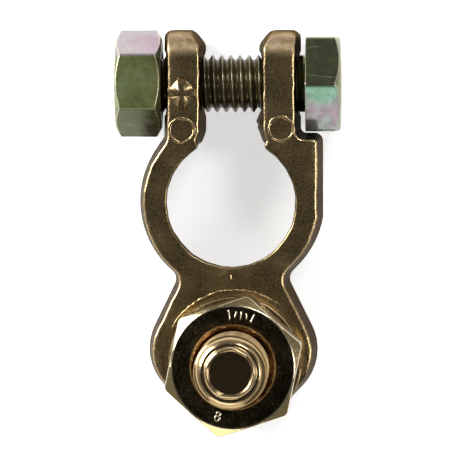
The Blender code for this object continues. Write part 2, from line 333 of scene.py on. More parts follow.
def round_ear_ends(points, level, end_inset):
    """Bend the ears' ends to an arc, seen from the side.

    Past the arc's start, a point's share of the way to the end sets its share of the
    arc: the faces turn through 50 degrees and the end wall through the rest.
    """
    high = max(level, HEIGHT - level)
    start = EAR_TOP - EAR_ROUND
    spring = HEIGHT - EAR_ROUND
    share = np.clip((points[:, 1] - start) / (EAR_TOP - end_inset - start), 0, 1)
    past = min(max((high - spring) / EAR_ROUND, 0), 1)
    turn = pi / 2 - (pi / 2 - EAR_ROUND_TURN) * past
    end_y = start + EAR_ROUND * np.sin(turn)
    end_z = spring + EAR_ROUND * np.cos(turn) if past > 0 else high
    swing = EAR_ROUND_TURN * share
    y = start + (end_y - start) * np.sin(swing) / np.sin(EAR_ROUND_TURN)
    z = high - (high - end_z) * (1 - np.cos(swing)) / (1 - np.cos(EAR_ROUND_TURN))
    z = z if level > MIDDLE else HEIGHT - z
    return np.column_stack([points[:, 0], np.where(share > 0, y, points[:, 1]), z])


def casting():
    """The casting's skin: its outline carried up the draft, then closed by two ladders.

    Row by row the outline moves in by the draft, the bore by the post's taper, and
    both by a quarter circle at the faces.  Rungs between the paired outer and inner
    edges close the two faces.
    """
    outer, inner = casting_lines()
    count, rungs = len(outer), 12
    step = np.linspace(0, 1, rungs + 1)[1:-1, None]
    left_end = inner[0] + (outer[0] - inner[0]) * step
    right_end = outer[-1] + (inner[-1] - outer[-1]) * step
    loop = np.concatenate([outer, right_end, inner[::-1], left_end])
    length = np.cumsum(np.linalg.norm(loop - np.roll(loop, 1, axis=0), axis=1)) / MM
    in_bore = np.clip((9.2 * MM - np.linalg.norm(loop, axis=1)) / (0.45 * MM), 0, 1)
    worn = 0.035 * np.sin(0.9 * length + 2 * np.sin(0.31 * length))
    worn += 0.02 * np.sin(3.1 * length + 1.0)
    in_throat = np.abs(loop[:, 0] - EAR_IN) < 0.3 * MM
    lumps = np.exp(-(((loop[:, 1] / MM - 11.0) / 1.1) ** 4)) * in_throat
    lumps *= 0.28 + 0.12 * np.sin(5.5 * length)
    before_ear_end = np.clip((21.5 * MM - loop[:, 1]) / (1.5 * MM), 0.05, 1)
    edge_turn = np.radians(np.linspace(0, 90, 6))
    rise = EDGE * (1 - np.sin(edge_turn))
    wall = np.linspace(EDGE, HEIGHT - EDGE, 21)[1:-1]
    flash = np.array([MIDDLE - 0.12 * MM, MIDDLE, MIDDLE + 0.12 * MM])
    wall = np.sort(np.concatenate([wall[np.abs(wall - MIDDLE) > 0.1 * MM], flash]))
    levels = np.concatenate([rise[::-1], wall, HEIGHT - rise])
    rows, marks = [], []
    for level in levels:
        depth = min(level, HEIGHT - level)
        near = max(0, (EDGE - depth) / EDGE)
        curl = EDGE * (1 - sqrt(1 - near**2))
        draft = min(DRAFT * abs(level - MIDDLE) / (MIDDLE - EDGE), DRAFT)
        seam = -0.05 * MM if abs(level - MIDDLE) < 0.01 * MM else 0.0
        taper = (HEIGHT - level) * TAPER
        by = (1 - in_bore) * (draft + seam) + in_bore * taper + curl
        by = by + worn * MM * (draft / DRAFT) - lumps * MM * min(depth / (3 * MM), 1)
        flat = inset(loop, by)
        end_inset = EAR_TOP - flat[count + rungs // 2 - 1, 1]
        rows.append(round_ear_ends(flat, level, end_inset))
        # Edge rows carry wear and a painted highlight, faded in the bore and towards the ear ends.
        marks.append(near * (1 - 0.8 * in_bore) * before_ear_end)
    around = len(loop)
    points = [np.concatenate(rows)]
    quads = [woven(len(levels), around, False)]
    highlight_and_wear_marks = [np.concatenate(marks)]
    total = len(points[0])
    for row in (0, len(levels) - 1):
        first = row * around
        ladder = np.empty((count, rungs + 1), int)
        ladder[:, 0] = first + np.arange(count)
        ladder[:, -1] = first + count + (rungs - 1) + np.arange(count)[::-1]
        ladder[0, 1:-1] = first + around - 1 - np.arange(rungs - 1)
        ladder[-1, 1:-1] = first + count + np.arange(rungs - 1)
        ladder[1:-1, 1:-1] = total + np.arange((count - 2) * (rungs - 1)).reshape(count - 2, -1)
        near_edge = points[0][ladder[1:-1, 0]][:, None]
        far_edge = points[0][ladder[1:-1, -1]][:, None]
        face = near_edge + (far_edge - near_edge) * step[None]
        points.append(face.reshape(-1, 3))
        highlight_and_wear_marks.append(np.zeros(len(points[-1])))
        total += len(points[-1])
        corners = ladder[:-1, :-1], ladder[1:, :-1], ladder[1:, 1:], ladder[:-1, 1:]
        quad = np.stack(corners, axis=2).reshape(-1, 4)
        quads.append(quad if row else quad[:, ::-1])
    body = mesh_piece("brass_casting", np.concatenate(points), np.concatenate(quads))
    carry(body, "worn_edge", np.concatenate(highlight_and_wear_marks))
    return body


def eased(corners, columns=1, wrap=False):
    """Rows of a turned profile with its corners eased.

    Each (radius, height, ease) corner gives way to five rows: two on the way in, one
    on the curve and two on the way out.  A corner of ease 0 stays one row.  A radius
    or a height may be an array, one number for each column.
    """
    flat = np.zeros(columns)
    at = [np.stack([radius + flat, height + flat]) for radius, height, _ in corners]
    rows = []
    for k, (_, _, ease) in enumerate(corners):
        here = at[k]
        if ease == 0 or (not wrap and k in (0, len(corners) - 1)):
            rows.append((*here, 0.0))
            continue
        back = at[k - 1] - here
        ahead = at[(k + 1) % len(at)] - here
        back = back / np.linalg.norm(back, axis=0) * ease
        ahead = ahead / np.linalg.norm(ahead, axis=0) * ease
        # The third number is the corner's wear and painted highlight: 0.5 on the way in and out, 1
        # on the curve.
        rows.append((*(here + 2 * back), 0.0))
        rows.append((*(here + back), 0.5))
        rows.append((*(here + (back + ahead) / 4), 1.0))
        rows.append((*(here + ahead), 0.5))
        rows.append((*(here + 2 * ahead), 0.0))
    return rows


def turned(name, rows, angle, wrap=False):
    """A turned solid on Z: each row is a ring of radius and height, and carries its wear and
    painted highlight.

    The ends close on a polygon, or the last row joins the first when it wraps.
    """
    ring = np.ones(len(angle))
    radius = np.stack([ring * row[0] for row in rows])
    height = np.stack([ring * row[1] for row in rows])
    points = np.stack([radius * np.cos(angle), radius * np.sin(angle), height], axis=2)
    here = np.arange(len(angle))
    ends = [] if wrap else [here[::-1], (len(rows) - 1) * len(angle) + here]
    piece = mesh_piece(name, points.reshape(-1, 3), woven(len(rows), len(angle), wrap), ends)
    carry(piece, "worn_edge", np.stack([ring * row[2] for row in rows]))
    return piece


def bead(name, path, width, height, closed):
    """A raised line: an ellipse carried along a path, wide across it and high on Z.

    Width and height are half sizes and may change along the path.
    """
    way = np.roll(path, -1, axis=0) - np.roll(path, 1, axis=0)
    if not closed:
        way[0], way[-1] = path[1] - path[0], path[-1] - path[-2]
    way /= np.linalg.norm(way, axis=1)[:, None]
    side = np.stack([way[:, 1], -way[:, 0], np.zeros(len(way))], axis=1)
    sides = 14
    turn = full_turn(sides)
    span = np.ones(len(path))
    across_by = (span * width)[:, None, None] * side[:, None] * np.cos(turn)[None, :, None]
    up_by = (span * height)[:, None, None] * np.array([0, 0, 1.0]) * np.sin(turn)[None, :, None]
    points = (path[:, None] + across_by + up_by).reshape(-1, 3)
    here = np.arange(sides)
    ends = [] if closed else [here[::-1], (len(path) - 1) * sides + here]
    piece = mesh_piece(name, points, woven(len(path), sides, closed), ends)
    # The upper half of each bead carries wear and a painted highlight on its top.
    carry(piece, "worn_edge", np.tile(np.clip(np.sin(turn), 0, 1), len(path)))
    return piece


def move(piece, place, turn=None):
    """Set a piece down for good: its points move and its object stays at the origin."""
    mesh = piece.data
    points = np.empty(len(mesh.vertices) * 3)
    mesh.vertices.foreach_get("co", points)
    points = points.reshape(-1, 3)
    if turn is not None:
        points = points @ np.array(turn, float).T
    mesh.vertices.foreach_set("co", (points + np.array(place)).ravel())
    mesh.update()


def cut(piece, tool):
    """Cut a piece with a hidden tool and keep the result."""
    step = piece.modifiers.new("cut", "BOOLEAN")
    step.operation = "DIFFERENCE"
    step.solver = "EXACT"
    step.object = tool
    graph = bpy.context.evaluated_depsgraph_get()
    mesh = bpy.data.meshes.new_from_object(piece.evaluated_get(graph))
    piece.modifiers.clear()
    old, name = piece.data, piece.data.name
    piece.data = mesh
    bpy.data.meshes.remove(old)
    mesh.name = name
    bpy.data.objects.remove(tool)


class Wire:
    """A shader value.  Python's operators on it add Math nodes."""

    def __init__(self, finish, socket):
        self.finish = finish
        self.socket = socket

    def _math(self, operation, a, b):
        return self.finish.add("ShaderNodeMath", {"operation": operation}, {0: a, 1: b})

    def __add__(self, other):
        return self._math("ADD", self, other)

    def __radd__(self, other):
        return self._math("ADD", other, self)

    def __sub__(self, other):
        return self._math("SUBTRACT", self, other)

    def __rsub__(self, other):
        return self._math("SUBTRACT", other, self)

    def __mul__(self, other):
        return self._math("MULTIPLY", self, other)

    def __rmul__(self, other):
        return self._math("MULTIPLY", other, self)


class Finish:
    """A metal finish under construction, on the Object coordinates of its piece."""

    def __init__(self, name, **constants):
        self.material = bpy.data.materials.new(name)
        self.material.use_nodes = True
        self.tree = self.material.node_tree
        self.shader = self.tree.nodes["Principled BSDF"]
        self.shader.inputs["Metallic"].default_value = 1.0
        for key, value in constants.items():
            self.shader.inputs[key.replace("_", " ").title()].default_value = value
        self.place = self.add("ShaderNodeTexCoord", {}, {}, "Object")

    def add(self, kind, settings, values, out=0):
        """Place a node: first its settings, then the values or wires of its sockets."""
        node = self.tree.nodes.new(kind)
        for key, value in settings.items():
            if key == "stops":
                ramp = node.color_ramp
                while len(ramp.elements) < len(value):
                    ramp.elements.new(0.5)
                for element, (at, colour) in zip(ramp.elements, value):
                    element.position = at
                    element.color = (*colour, 1)
            else:
                setattr(node, key, value)
        for key, value in values.items():
            if isinstance(value, Wire):
                self.tree.links.new(value.socket, node.inputs[key])
            else:
                node.inputs[key].default_value = value
        return Wire(self, node.outputs[out])

    def noise(self, per_mm, detail=4.0, rough=0.55, stretch=None):
        """Fractal noise with `per_mm` lumps to the millimetre, from 0 to 1."""
        place = self.place
        if stretch:
            place = self.add("ShaderNodeMapping", {}, {"Vector": place, "Scale": stretch})
        values = {"Vector": place, "Scale": per_mm / MM, "Detail": detail, "Roughness": rough}
        return self.add("ShaderNodeTexNoise", {}, values, "Fac")

    def spread(self, value, low, high, to_low=0.0, to_high=1.0):
        """A value taken from one range to another and held between its limits."""
        values = {"Value": value, 1: low, 2: high, 3: to_low, 4: to_high}
        return self.add("ShaderNodeMapRange", {"clamp": True}, values)

    def mix(self, share, a, b):
        """Colour a turning into colour b as the share goes from 0 to 1."""
        a, b = (c if isinstance(c, Wire) else (*c, 1.0) for c in (a, b))
        return self.add("ShaderNodeMix", {"data_type": "RGBA"}, {0: share, 6: a, 7: b}, 2)

    def ramp(self, value, stops):
        """Colours along a value."""
        return self.add("ShaderNodeValToRGB", {"stops": stops}, {"Fac": value}, "Color")

    def attribute(self, name):
        """A number carried by the piece's own points."""
        return self.add("ShaderNodeAttribute", {"attribute_name": name}, {}, "Fac")

    def bump(self, height, distance, strength=1.0):
        """Relief of `distance` metres at height 1."""
        values = {"Height": height, "Distance": distance, "Strength": strength}
        normal = self.add("ShaderNodeBump", {}, values, "Normal")
        self.tree.links.new(normal.socket, self.shader.inputs["Normal"])

    def feed(self, **wires):
        """Lead wires into the shader's own sockets."""
        for key, wire in wires.items():
            self.tree.links.new(wire.socket, self.shader.inputs[key.replace("_", " ").title()])


def cast_brass():
    """Darkened die-cast brass: brown in the flats, bright along the edges from wear and a painted
    highlight, with painted shade on the walls and a painted sheen on the ear ends.
    """
    brass = Finish("cast_brass", specular_tint=(0.27, 0.235, 0.18, 1))
    blotch = brass.noise(0.3, 3.0, 0.6)
    grain = brass.noise(3.0, 4.0, 0.65)
    pits = brass.noise(8.0, 3.0, 0.6)
    flecks = brass.spread(brass.noise(4.0, 2.0, 0.5), 0.58, 0.70)
    edge = brass.attribute("worn_edge")
    normal = brass.add("ShaderNodeTexCoord", {}, {}, "Normal")
    upward = brass.add("ShaderNodeSeparateXYZ", {}, {"Vector": normal}, "Z")
    upward = brass.add("ShaderNodeMath", {"operation": "ABSOLUTE"}, {0: upward})
    along = brass.add("ShaderNodeSeparateXYZ", {}, {"Vector": brass.place}, "Y")
    ear_end = brass.spread(along, 19.8 * MM, 21.6 * MM)
    tone = brass.spread(blotch * 0.35 + grain * 0.65, 0.34, 0.68)
    ground = brass.mix(tone, (0.19, 0.135, 0.06), (0.36, 0.27, 0.135))
    ground = brass.mix(flecks * 0.6, ground, (0.62, 0.46, 0.22))
    # Painted sheen: the rounded ear ends turn a lighter brown, broken up by mottling.
    patchy = brass.spread(brass.noise(1.0, 4.0, 0.6), 0.36, 0.62)
    ground = brass.mix(ear_end * (0.15 + patchy * 0.6), ground, (0.56, 0.42, 0.28))
    # Painted shade: faces that turn sideways, the walls, go nearly black.
    ground = brass.mix(brass.spread(upward, 0.1, 0.6, 0.85, 0.0), ground, (0.06, 0.048, 0.03))
    # Edges go bright gold: wear and a painted highlight.
    worn_and_lit = brass.spread(edge + (blotch - 0.5) * 1.4 + (grain - 0.5) * 0.5, 0.25, 0.9)
    colour = brass.mix(worn_and_lit, ground, (0.74, 0.54, 0.28))
    rough = brass.spread(tone - edge * 0.6, 0.0, 1.0, 0.26, 0.38) + ear_end * 0.14
    brass.feed(base_color=colour, roughness=rough)
    brass.bump(grain * 0.7 + pits * 0.3, 0.025 * MM, 0.8)
    return brass.material


def fasten(piece, body_name, material, replaced=None):
    """Give a piece its finish and its body, and hide the CAD part that it replaces, if any."""
    piece.data.materials.append(material)
    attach(piece, body_name)
    if replaced:
        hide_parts(replaced)


body = casting()
even = full_turn(96)
drill = turned("bolt_drill", [(BOLT_HOLE, -12 * MM, 0), (BOLT_HOLE, 12 * MM, 0)], even)
move(drill, (0, BOLT_Y, BOLT_Z), TURN_ON_X)
cut(body, drill)
seat_rows = [
    (6.8 * MM, -1 * MM, 0),
    (6.8 * MM, 3.4 * MM, 0),
    (5.3 * MM, 3.4 * MM, 0),
    (5.3 * MM, 13.5 * MM, 0),
    (9.75 * MM, 13.5 * MM, 0),
    (9.9 * MM, 15 * MM, 0),
]
seat_cutter = turned("seat_cutter", seat_rows, even)
move(seat_cutter, (STUD_X, STUD_Y, 0))
cut(body, seat_cutter)
body.data.set_sharp_from_angle(angle=radians(40))
brass_finish = cast_brass()
fasten(body, "clamp", brass_finish, "clamp_body")


# ---------------------------------------------------------------------------
# The marks that the dies leave on the casting's upper face: a raised plus for the
# positive post, the rims of two ejector pins, and burrs round the spot face.

PLUS_AT = (-6.75 * MM, 14.95 * MM)
EJECTORS = ((-6.74 * MM, 9.9 * MM), (6.83 * MM, 10.1 * MM))


def plus_outline(angle, grown):
    """Distance from a plus sign's centre to its edge: the farther of two crossed bars."""
    reach = []
    for half_x, half_y in ((0.42 * MM, 2.0 * MM), (1.8 * MM, 0.4 * MM)):
        to_side = (half_x + grown) / np.maximum(np.abs(np.cos(angle)), 1e-6)
        to_end = (half_y + grown) / np.maximum(np.abs(np.sin(angle)), 1e-6)
        reach.append(np.minimum(to_side, to_end))
    return np.maximum(*reach)


def plus_sign():
    """The raised plus: flat bars whose sides slope out to a diamond on the face.

    Between the bars' edge and the diamond's, the radius goes evenly and the height
    falls off.
    """
    angle = full_turn(240)
    bars = plus_outline(angle, 0)
    diamond = (np.abs(np.cos(angle) / 1.95) ** 1.25 + np.abs(np.sin(angle) / 2.2) ** 1.25) ** -0.8
    foot = np.maximum(diamond * MM, plus_outline(angle, 0.16 * MM))
    rows = [(0.02 * MM, 0.4 * MM, 0), (bars - 0.08 * MM, 0.4 * MM, 0), (bars, 0.38 * MM, 0.3)]
    # The slopes carry wear and a painted highlight, brightest next to the bars.
    for share in (0.12, 0.35, 0.6, 0.85, 1.0):
        height = 0.38 * MM * (1 - share) ** 1.1
        rows.append((bars + (foot - bars) * share, height, 0.9 - 0.5 * share))
    rows.append((foot, -0.1 * MM, 0))
    rows.append((0.02 * MM, -0.1 * MM, 0))
    sign = turned("plus_sign", rows, angle)
    sign.data.set_sharp_from_angle(angle=radians(35))
    move(sign, (*PLUS_AT, HEIGHT))
    return sign


def ejector_rim(name, centre, seed):
    """The thin uneven rim that an ejector pin leaves."""
    turn = full_turn(120)
    wave = np.sin(3 * turn + seed) + 0.6 * np.sin(7 * turn + 2 * seed) + 0.4 * np.sin(13 * turn)
    radius = 1.66 * MM + 0.03 * MM * wave
    path = np.stack([radius * np.cos(turn), radius * np.sin(turn), 0 * turn], axis=1)
    rim = bead(name, path, 0.2 * MM + 0.04 * MM * np.sin(5 * turn + seed), 0.09 * MM, True)
    move(rim, (*centre, HEIGHT))
    return rim


def seat_burr():
    """The torn edge of the spot face where the cutter left the skin of the casting."""
    count = 220
    turn = np.radians(np.linspace(35, 152, count))
    share = np.linspace(0, 1, count)
    chance = np.random.default_rng(7)
    knots = np.linspace(0, 1, 48)
    uneven = np.interp(share, knots, chance.uniform(-1, 1, len(knots)))
    ragged = np.interp(share, knots, chance.uniform(0.35, 1.0, len(knots)))
    radius = 9.9 * MM + 0.07 * MM * uneven
    thin = np.clip(1 - np.abs(2.1 * share - 1.15) ** 3, 0, 1) * ragged + 0.03
    path = np.stack([radius * np.cos(turn), radius * np.sin(turn), 0 * turn], axis=1)
    burr = bead("seat_burr", path, 0.17 * MM * thin, 0.2 * MM * thin, False)
    move(burr, (STUD_X, STUD_Y, HEIGHT))
    return burr


def flash_tick():
    """A short raised flaw on the web between ring and lug."""
    share = np.linspace(-1, 1, 12)
    thin = np.sqrt(np.clip(1 - share**2, 0, 1)) + 0.06
    path = np.column_stack([0.05 * share**2, -10.2 + 0.4 * share, 0 * share]) * MM
    tick = bead("flash_tick", path, 0.12 * MM * thin, 0.09 * MM * thin, False)
    move(tick, (0, 0, HEIGHT))
    return tick


for mark in (
    plus_sign(),
    flash_tick(),
    ejector_rim("left_ejector_rim", EJECTORS[0], 0.4),
    ejector_rim("right_ejector_rim", EJECTORS[1], 2.1),
    seat_burr(),
):
    fasten(mark, "clamp", brass_finish)


# ---------------------------------------------------------------------------
# The clamp bolt: an M8 hexagon bolt through both ears, zinc plated and passivated
# yellow, its head chamfered on the outside only and its thread rolled to the head.

BOLT_HEAD_X = 10.1 * MM
BOLT_FLATS = 12.9 * MM
HEAD_HIGH = 4.8 * MM
BOLT_LONG = 25 * MM
M8 = (4.0 * MM, 1.25 * MM)
CHAMFER = tan(radians(30))
THREAD_DEPTH = 0.541
END_TINT = 0.34
THREAD_TINT = 0.02


def hex_columns(spin):
    """Angles round a hexagon with a corner at `spin` degrees, closest at its corners."""
    half = np.array([0, 1.6, 3, 5.5, 9, 13, 18, 24])
    side = np.concatenate([half, [30], 60 - half[:0:-1]])
    return np.radians(spin + (60 * np.arange(6)[:, None] + side).ravel())


def hex_radius(angle, spin, flats):
    """Distance to a hexagon's side, held back a little at its corners."""
    turn = np.mod(angle - radians(spin), pi / 3) - pi / 6
    return np.minimum(flats / 2 / np.cos(turn), 0.985 * flats / 2 / np.cos(pi / 6))


def thread_rows(angle, size, low, high, play=0.0):
    """Rows of a right-hand thread.

    The radius follows height less the turn's share of a pitch: a triangle wave cut off
    at root and crest and softened there.  The depth is 0.541 of the pitch.  Play widens
    it for a nut.
    """
    radius, pitch = size
    count = int(round((high - low) / (pitch / 18)))
    rows = []
    for z in np.linspace(low, high, count + 1):
        phase = np.mod(z / pitch - angle / (2 * pi), 1)
        climb = (np.abs(2 * phase - 1) - 0.25) / 0.625
        soft = 0.12
        climb = (np.sqrt(climb**2 + soft**2) - np.sqrt((climb - 1) ** 2 + soft**2) + 1) / 2
        # The third number brightens the crests: wear and a painted highlight.
        rows.append([radius - THREAD_DEPTH * pitch * (1 - climb) + play, z, 0.5 * climb**3])
    return rows


def yellow_zinc(name, stops, rough=(0.16, 0.3)):
    """Yellow passivated zinc: an oil-film play of colours that changes from facet to facet."""
    zinc = Finish(name, metallic=0.62)
    film = zinc.noise(0.22, 2.0, 0.5)
    cloud = zinc.noise(0.9, 3.0, 0.6)
    scratch = zinc.noise(0.5, 4.0, 0.7, stretch=(0.35, 4.0, 1.0))
    grain = zinc.noise(7.0, 2.0, 0.5)
    edge = zinc.attribute("worn_edge")
    facet = zinc.attribute("facet")
    at = facet + facet * (film - 0.5) * 0.8 + (cloud - 0.5) * 0.05
    scuff = zinc.spread(scratch, 0.62, 0.72)
    colour = zinc.mix(scuff * 0.4, zinc.ramp(at, stops), (0.66, 0.64, 0.54))
    # Edges and thread crests go pale gold: wear and a painted highlight.
    colour = zinc.mix(zinc.spread(edge, 0.3, 1.0, 0.0, 0.7), colour, (0.74, 0.67, 0.48))
    zinc.feed(base_color=colour, roughness=zinc.spread(cloud, 0.3, 0.7, *rough))
    zinc.bump(grain * 0.4 + scratch * 0.6, 0.012 * MM, 0.7)
    return zinc.material


PASSIVATED = (
    (0.0, (0.085, 0.064, 0.027)),
    (0.15, (0.06, 0.066, 0.035)),
    (0.35, (0.19, 0.205, 0.076)),
    (0.55, (0.16, 0.31, 0.22)),
    (0.72, (0.31, 0.19, 0.25)),
    (0.92, (0.345, 0.30, 0.31)),
)


def facet_tints(angle, spin, tints):
    """One number for each side of a hexagon, from the side after the corner at `spin`."""
    side = np.floor(np.mod(angle - radians(spin) + 1e-6, 2 * pi) / (pi / 3)).astype(int) % 6
    return np.array(tints)[side]


def clamp_bolt():
    """The bolt along Z: its head from -4.8 mm to the seat at 0, then 25 mm of thread."""
    angle = hex_columns(0)
    across_flats = hex_radius(angle, 0, BOLT_FLATS)
    ring = 0.478 * BOLT_FLATS
    drop = (across_flats - ring) * CHAMFER
    n = len(angle)
    head = eased(
        [
            (0.03 * MM, -HEAD_HIGH + 0.3 * MM, 0),
            (4.1 * MM, -HEAD_HIGH + 0.3 * MM, 0.1 * MM),
            (4.6 * MM, -HEAD_HIGH, 0.1 * MM),
            (ring, -HEAD_HIGH, 0.08 * MM),
            (across_flats, -HEAD_HIGH + drop, 0.08 * MM),
            (across_flats, 0, 0.1 * MM),
            (3.95 * MM, 0, 0.1 * MM),
            (3.9 * MM, 0.9 * MM, 0),
        ],
        n,
    )
    shank = thread_rows(angle, M8, 0.9 * MM, BOLT_LONG - 0.02 * MM)
    for row in shank:
        row[0] = np.minimum(row[0], 3.98 * MM - max(0, row[1] - BOLT_LONG + 0.9 * MM) * 0.85)
    end = [(3.0 * MM, BOLT_LONG, 0.3), (0.03 * MM, BOLT_LONG, 0)]
    bolt = turned("m8_clamp_bolt", head + shank + end, angle)
    tints = facet_tints(angle, 0, (0.16, 0.35, 0.7, 0.3, 0.5, 0.62))
    on_side = np.isclose([np.max(row[0]) for row in head], np.max(across_flats), atol=0.25 * MM)
    head_tints = np.where(on_side[:, None], tints, END_TINT)
    rest_tints = np.full((len(shank) + len(end)) * n, THREAD_TINT)
    carry(bolt, "facet", np.concatenate([head_tints.ravel(), rest_tints]))
    move(bolt, (BOLT_HEAD_X, BOLT_Y, BOLT_Z), TURN_ON_X)
    return bolt


bolt_finish = yellow_zinc("yellow_zinc_bolt", PASSIVATED)
fasten(clamp_bolt(), "bolt", bolt_finish, "clamp_bolt")


# ---------------------------------------------------------------------------
# The clamp nut: an M8 hexagon nut with both faces chamfered, plated like the bolt,
# standing a little clear of the left ear.

NUT_LOW = BOLT_HEAD_X + 9.7 * MM
NUT_HIGH = NUT_LOW + 6.3 * MM
NUT_SPIN = 33.8
SINK_SLOPE = 0.7


def hex_nut(name, flats, spin, low, high, size, sink, ring_share, play, tints):
    """A nut as one ring-shaped profile.

    It goes up the sides, over the 30 degree chamfer, in across the top, down through
    the countersink and the thread, and out across the bottom.
    """
    angle = hex_columns(spin)
    n = len(angle)
    across_flats = hex_radius(angle, spin, flats)
    ring = ring_share * flats / 2
    drop = (across_flats - ring) * CHAMFER
    crest = size[0] - THREAD_DEPTH * size[1]
    ease = 0.1 * MM
    outside = eased(
        [
            (sink, low, 0),
            (ring, low, ease),
            (across_flats, low + drop, ease),
            (across_flats, high - drop, ease),
            (ring, high, ease),
            (sink, high, ease),
            (crest, high - (sink - crest) * SINK_SLOPE, 0),
        ],
        n,
    )
    inside = thread_rows(angle, size, low, high, play)[::-1]
    for row in inside:
        widest = max(row[1] - high, low - row[1]) / SINK_SLOPE + sink
        row[0] = np.maximum(row[0], widest)
        row[2] = 0
    rows = outside[:-1] + inside[1:-1]
    nut = turned(name, rows, angle, wrap=True)
    bore = np.repeat([0.0, 1.0], [len(outside) - 2, len(inside) - 1])
    carry(nut, "bore", np.repeat(bore, n))
    on_side = np.array([np.max(row[0]) > 1.05 * flats / 2 for row in rows])
    side_tints = facet_tints(angle, spin, tints)
    carry(nut, "facet", np.where(on_side[:, None], side_tints, END_TINT))
    return nut


NUT_TINTS = (0.92, 0.5, 0.35, 0.7, 0.2, 0.34)
nut = hex_nut(
    "m8_clamp_nut",
    flats=12.9 * MM,
    spin=NUT_SPIN,
    low=NUT_LOW,
    high=NUT_HIGH,
    size=M8,
    sink=4.4 * MM,
    ring_share=0.955,
    play=0.16 * MM,
    tints=NUT_TINTS,
)
move(nut, (BOLT_HEAD_X, BOLT_Y, BOLT_Z), TURN_ON_X)
nut_finish = yellow_zinc("yellow_zinc_nut", PASSIVATED, (0.2, 0.36))
fasten(nut, "bolt_nut", nut_finish, "clamp_nut")


# ---------------------------------------------------------------------------
# The terminal stud: M10, brass plated, with a round head let into the underside, a
# knurled shank pressed into the lug, and a thread that runs out over its rounded end.

M10 = (5.0 * MM, 1.5 * MM)


def terminal_stud():
    """The stud from its head at 0.2 mm to its rim at 35.9 mm, turned in one profile.

    Along the thread the radius is the smaller of the thread's and the shoulder's, so
    that the nut can pass over the end.  The shoulder's rows are height and radius in
    mm, and wear with a painted highlight.
    """
    angle = full_turn(96)
    n = len(angle)
    knurl = 0.05 * MM * np.cos(24 * angle)
    head = eased(
        [
            (0.03 * MM, 0.2 * MM, 0),
            (6.5 * MM, 0.2 * MM, 0.25 * MM),
            (6.5 * MM, 3.0 * MM, 0.2 * MM),
            (5.05 * MM, 3.0 * MM, 0.1 * MM),
            (5.08 * MM + knurl, 4.0 * MM, 0),
            (5.08 * MM + knurl, 12.6 * MM, 0),
            (5.05 * MM, 13.4 * MM, 0.2 * MM),
            (4.3 * MM, 14.6 * MM, 0),
        ],
        n,
    )
    # The third column is wear and a painted highlight on the rounded shoulder.
    shoulder = (
        (14.6, 4.2, 0.0),
        (15.5, 5.01, 0.0),
        (33.0, 5.01, 0.0),
        (33.5, 4.99, 0.0),
        (34.0, 4.95, 0.0),
        (34.4, 4.87, 0.1),
        (34.78, 4.73, 0.3),
        (35.06, 4.55, 0.5),
        (35.26, 4.35, 0.7),
        (35.4, 4.13, 0.7),
        (35.49, 3.93, 0.5),
    )
    heights, radii, rubs_and_glints = np.array(shoulder).T
    shank = thread_rows(angle, M10, 14.6 * MM, 35.45 * MM)
    for row in shank:
        limit = np.interp(row[1], heights * MM, radii * MM)
        rub_and_glint = np.interp(row[1], heights * MM, rubs_and_glints)
        row[2] = np.where(row[0] < limit, row[2], rub_and_glint)
        row[0] = np.minimum(row[0], limit)
    wave = 0.03 * MM * (np.sin(5 * angle) + np.sin(9 * angle + 1))
    # The end's third numbers brighten the ridge ring: wear and a painted highlight.
    end = [
        (3.93 * MM, 35.49 * MM, 0.5),
        (3.8 * MM, 35.51 * MM, 0.3),
        (3.66 * MM, 35.5 * MM, 0.1),
        (3.5 * MM, 35.56 * MM, 0.3),
        (3.36 * MM + wave, 35.74 * MM, 0.6),
        (3.22 * MM + wave, 35.88 * MM, 1.0),
        (3.06 * MM + wave, 35.9 * MM, 0.7),
        (2.96 * MM + wave, 35.78 * MM, 0.2),
        (2.88 * MM, 35.72 * MM, 0.0),
        (2.8 * MM, 35.7 * MM, 0.0),
        (2.7 * MM, 35.7 * MM, 0.0),
        (0.03 * MM, 35.7 * MM, 0.0),
    ]
    stud = turned("m10_terminal_stud", head + shank + end, angle)
    move(stud, (STUD_X, STUD_Y, 0))
    return stud


def plated_brass(name, dark, middle, bright, rough):
    """Yellow plating on steel: mottled with age in the flats, bright along the marked edges from
    wear and a painted highlight.
    """
    plate = Finish(name, specular_tint=(0.5, 0.38, 0.25, 1))
    cloud = plate.noise(0.6, 4.0, 0.6)
    grain = plate.noise(3.5, 4.0, 0.65)
    edge = plate.attribute("worn_edge")
    ground = plate.mix(plate.spread(cloud * 0.45 + grain * 0.55, 0.36, 0.64), dark, middle)
    # Marked edges go bright: wear and a painted highlight.
    worn_and_lit = plate.spread(edge + (grain - 0.5) * 0.4, 0.05, 0.95)
    colour = plate.mix(worn_and_lit, ground, bright)
    plate.feed(base_color=colour, roughness=plate.spread(grain, 0.3, 0.7, *rough))
    plate.bump(grain * 0.5 + cloud * 0.5, 0.02 * MM, 0.7)
    return plate.material


stud_finish = plated_brass(
    "brass_stud", (0.22, 0.15, 0.072), (0.32, 0.225, 0.115), (0.70, 0.51, 0.28), (0.15, 0.25)
)
fasten(terminal_stud(), "clamp", stud_finish, "terminal_stud")


# ---------------------------------------------------------------------------
# The spring washer: one turn of square spring-steel wire, cut across and pressed
# almost flat under the stud nut.

WASHER_LOW = 13.8 * MM
WASHER_THICK = 2.2 * MM
WASHER_GAP = radians(10)


